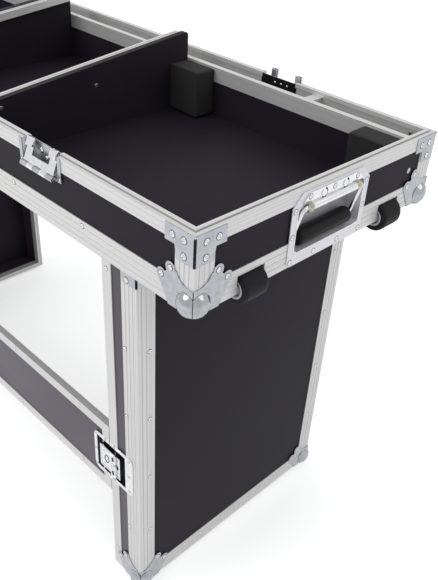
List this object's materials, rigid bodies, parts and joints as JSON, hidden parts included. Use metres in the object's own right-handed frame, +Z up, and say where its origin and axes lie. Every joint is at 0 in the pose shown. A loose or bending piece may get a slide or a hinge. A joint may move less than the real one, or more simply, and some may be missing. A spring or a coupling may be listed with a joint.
{
  "type": "dj coffin case",
  "caption": "Flight case tray with two turntable bays, a sloping mixer bay and cable duct, on two box legs with a latched crossbar; sprung handles, wheels and latch keepers.",
  "frame": {"origin": "on the floor under the centre of the object's outer box", "axes": "+Z up, +X to the user's right along the case, +Y from the user to the back"},
  "size_m": [1.3845, 0.5219, 0.857],
  "materials": {
    "laminate": "black laminated birch board",
    "extrusion": "satin anodised extrusion",
    "plate": "zinc plated pressed steel",
    "rod": "bright plated rod",
    "grip": "matt black rubber",
    "foam": "black foam",
    "tyre": "black rubber",
    "hub": "grey moulded hub"
  },
  "bodies": {
    "case": {"base_angle_front": "extrusion", "base_angle_left": "extrusion", "base_angle_rear": "extrusion", "base_angle_right": "extrusion", "bay_foam_blocks": "foam", "catch_dishes": "plate", "corner_braces": "plate", "crossbar_board": "laminate", "crossbar_trims": "extrusion", "duct_board": "laminate", "duct_bridges": "laminate", "duct_rail": "extrusion", "handle_dish_left": "plate", "handle_dish_right": "plate", "handle_hinge_plate_left": "plate", "handle_hinge_plate_right": "plate", "keeper_dishes_front": "plate", "keeper_dishes_rear": "plate", "latch_dishes": "plate", "leg_angles_left": "extrusion", "leg_angles_right": "extrusion", "leg_ball_corners": "plate", "leg_frame_left": "extrusion", "leg_frame_right": "extrusion", "leg_panel_left": "laminate", "leg_panel_right": "laminate", "leg_walls_left": "laminate", "leg_walls_right": "laminate", "mixer_rails": "extrusion", "partition_left": "laminate", "partition_right": "laminate", "rim_front": "extrusion", "rim_left": "extrusion", "rim_rear": "extrusion", "rim_right": "extrusion", "tray_ball_corners": "plate", "tray_corner_angles": "extrusion", "tray_floor": "laminate", "tray_front_wall": "laminate", "tray_left_wall": "laminate", "tray_rear_wall": "laminate", "tray_right_wall": "laminate", "wheel_mounts": "plate"},
    "wheel_front": {"wheel_tyre_front": "tyre", "wheel_hub_front": "hub"},
    "wheel_rear": {"wheel_tyre_rear": "tyre", "wheel_hub_rear": "hub"},
    "handle_right": {"handle_bail_right": "rod", "handle_grip_right": "grip"},
    "handle_left": {"handle_bail_left": "rod", "handle_grip_left": "grip"},
    "keeper_front_right": {"keeper_front_right": "plate"},
    "keeper_front_left": {"keeper_front_left": "plate"},
    "keeper_rear_right": {"keeper_rear_right": "plate"},
    "keeper_rear_left": {"keeper_rear_left": "plate"},
    "latch_hook_right": {"latch_hook_right": "plate"},
    "latch_hook_left": {"latch_hook_left": "plate"},
    "latch_wing_right": {"latch_wing_right": "plate"},
    "latch_wing_left": {"latch_wing_left": "plate"}
  },
  "joints": [
    {"name": "wheel_front_spin", "type": "hinge", "parent": "case", "child": "wheel_front", "pos_m": [0.66875, -0.15, 0.7032], "axis": [0, 1, 0], "continuous": true},
    {"name": "wheel_rear_spin", "type": "hinge", "parent": "case", "child": "wheel_rear", "pos_m": [0.66875, 0.15, 0.7032], "axis": [0, 1, 0], "continuous": true},
    {"name": "handle_right_lift", "type": "hinge", "parent": "case", "child": "handle_right", "pos_m": [0.68075, 0, 0.7837], "axis": [0, -1, 0], "range_deg": [0, 108], "stiffness_Nm_per_rad": 0.3, "springref_deg": -14.32},
    {"name": "handle_left_lift", "type": "hinge", "parent": "case", "child": "handle_left", "pos_m": [-0.68525, 0, 0.7837], "axis": [0, 1, 0], "range_deg": [0, 108], "stiffness_Nm_per_rad": 0.3, "springref_deg": -14.32},
    {"name": "keeper_front_right_swing", "type": "hinge", "parent": "case", "child": "keeper_front_right", "pos_m": [0.36975, -0.2556, 0.7787], "axis": [1, 0, 0], "range_deg": [0, 198.1]},
    {"name": "keeper_front_left_swing", "type": "hinge", "parent": "case", "child": "keeper_front_left", "pos_m": [-0.37425, -0.2556, 0.7787], "axis": [1, 0, 0], "range_deg": [0, 198.1]},
    {"name": "keeper_rear_right_swing", "type": "hinge", "parent": "case", "child": "keeper_rear_right", "pos_m": [0.36975, 0.2556, 0.7787], "axis": [-1, 0, 0], "range_deg": [-23.1, 175]},
    {"name": "keeper_rear_left_swing", "type": "hinge", "parent": "case", "child": "keeper_rear_left", "pos_m": [-0.37425, 0.2556, 0.7787], "axis": [-1, 0, 0], "range_deg": [-23.1, 175]},
    {"name": "latch_right_turn", "type": "hinge", "parent": "case", "child": "latch_wing_right", "pos_m": [0.49675, -0.238, 0.2862], "axis": [0, -1, 0], "range_deg": [0, 180]},
    {"name": "latch_right_draw", "type": "slide", "parent": "case", "child": "latch_hook_right", "axis": [-1, 0, 0], "range_m": [0, 0.0061]},
    {"name": "latch_left_turn", "type": "hinge", "parent": "case", "child": "latch_wing_left", "pos_m": [-0.50125, -0.238, 0.2862], "axis": [0, -1, 0], "range_deg": [0, 180]},
    {"name": "latch_left_draw", "type": "slide", "parent": "case", "child": "latch_hook_left", "axis": [1, 0, 0], "range_m": [0, 0.0061]}
  ],
  "couplings": [
    {"joint": "latch_right_draw", "follows": "latch_right_turn", "m_per_rad": 0.0019099},
    {"joint": "latch_left_draw", "follows": "latch_left_turn", "m_per_rad": 0.0019099}
  ]
}
